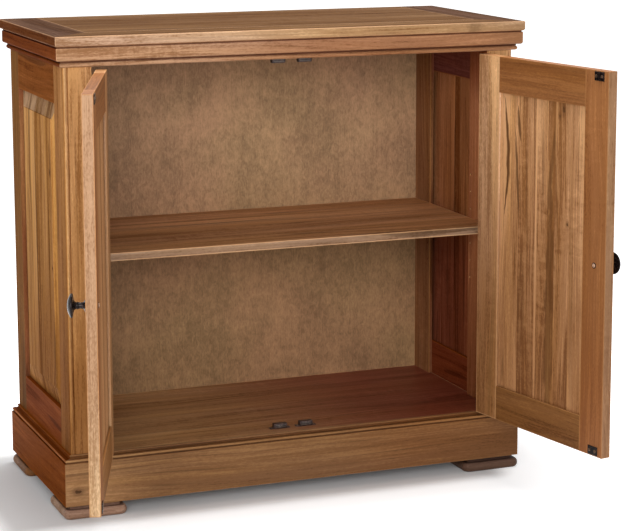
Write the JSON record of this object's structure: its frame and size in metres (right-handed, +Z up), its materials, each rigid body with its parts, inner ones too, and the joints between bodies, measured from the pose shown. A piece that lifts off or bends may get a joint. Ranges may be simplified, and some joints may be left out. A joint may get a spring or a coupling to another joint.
{
  "type": "huntboard cabinet",
  "caption": "Low wooden cupboard with raised-panel doors and sides, moulded cornice and plinth, pad feet, round knobs and a shelf on pins.",
  "frame": {"origin": "on the floor, under the middle of the whole piece's bounding box as it stands with both doors open", "axes": "+X to the right along the front as seen from in front, +Y to the back, +Z up"},
  "size_m": [1.1098, 0.8842, 0.965],
  "materials": {
    "top_wood": "satin wax over a grey-brown stain",
    "case_wood": "satin wax over a warm brown stain, knotty softwood",
    "door_wood": "satin wax over a light brown stain, mixed planks",
    "inside_wood": "matt dark brown stain",
    "back_ply": "matt stained plywood",
    "bronze": "dark oiled bronze",
    "pin_metal": "dull dark steel"
  },
  "bodies": {
    "case": {"top_front_rail": "top_wood", "top_left_end": "top_wood", "top_right_end": "top_wood", "top_field": "top_wood", "cornice_front": "case_wood", "cornice_left": "case_wood", "cornice_right": "case_wood", "plinth_front": "case_wood", "plinth_left": "case_wood", "plinth_right": "case_wood", "front_left_foot": "case_wood", "front_right_foot": "case_wood", "rear_left_foot": "case_wood", "rear_right_foot": "case_wood", "left_corner_post": "case_wood", "left_rear_stile": "case_wood", "left_side_top_rail": "case_wood", "left_side_bottom_rail": "case_wood", "left_side_panel": "case_wood", "right_corner_post": "case_wood", "right_rear_stile": "case_wood", "right_side_top_rail": "case_wood", "right_side_bottom_rail": "case_wood", "right_side_panel": "case_wood", "front_header": "inside_wood", "back_panel": "back_ply", "floor_panel": "inside_wood", "shelf_pin_front_left": "pin_metal", "shelf_pin_front_right": "pin_metal", "shelf_pin_rear_left": "pin_metal", "shelf_pin_rear_right": "pin_metal", "bottom_catch_left": "bronze", "bottom_catch_right": "bronze", "top_catch_left": "bronze", "top_catch_right": "bronze", "left_upper_hinge_case_leaf": "bronze", "left_lower_hinge_case_leaf": "bronze", "right_upper_hinge_case_leaf": "bronze", "right_lower_hinge_case_leaf": "bronze"},
    "left_door": {"left_door_hinge_stile": "door_wood", "left_door_free_stile": "door_wood", "left_door_top_rail": "door_wood", "left_door_bottom_rail": "door_wood", "left_door_panel": "door_wood", "left_knob": "bronze", "left_top_strike": "bronze", "left_bottom_strike": "bronze", "left_upper_hinge_door_leaf": "bronze", "left_lower_hinge_door_leaf": "bronze"},
    "right_door": {"right_door_hinge_stile": "door_wood", "right_door_free_stile": "door_wood", "right_door_top_rail": "door_wood", "right_door_bottom_rail": "door_wood", "right_door_panel": "door_wood", "right_knob": "bronze", "right_top_strike": "bronze", "right_bottom_strike": "bronze", "right_upper_hinge_door_leaf": "bronze", "right_lower_hinge_door_leaf": "bronze"},
    "shelf": {"shelf": "inside_wood"}
  },
  "joints": [
    {"name": "left_door_hinge", "type": "hinge", "parent": "case", "child": "left_door", "pos_m": [-0.39854, -0.01535, 0.5165], "axis": [0, 0, -1], "range_deg": [-109.2, 60.8]},
    {"name": "right_door_hinge", "type": "hinge", "parent": "case", "child": "right_door", "pos_m": [0.46046, -0.01535, 0.5165], "axis": [0, 0, 1], "range_deg": [-100, 70]},
    {"name": "shelf_lift", "type": "slide", "parent": "case", "child": "shelf", "axis": [0, 0, 1], "range_m": [0, 0.038]}
  ]
}
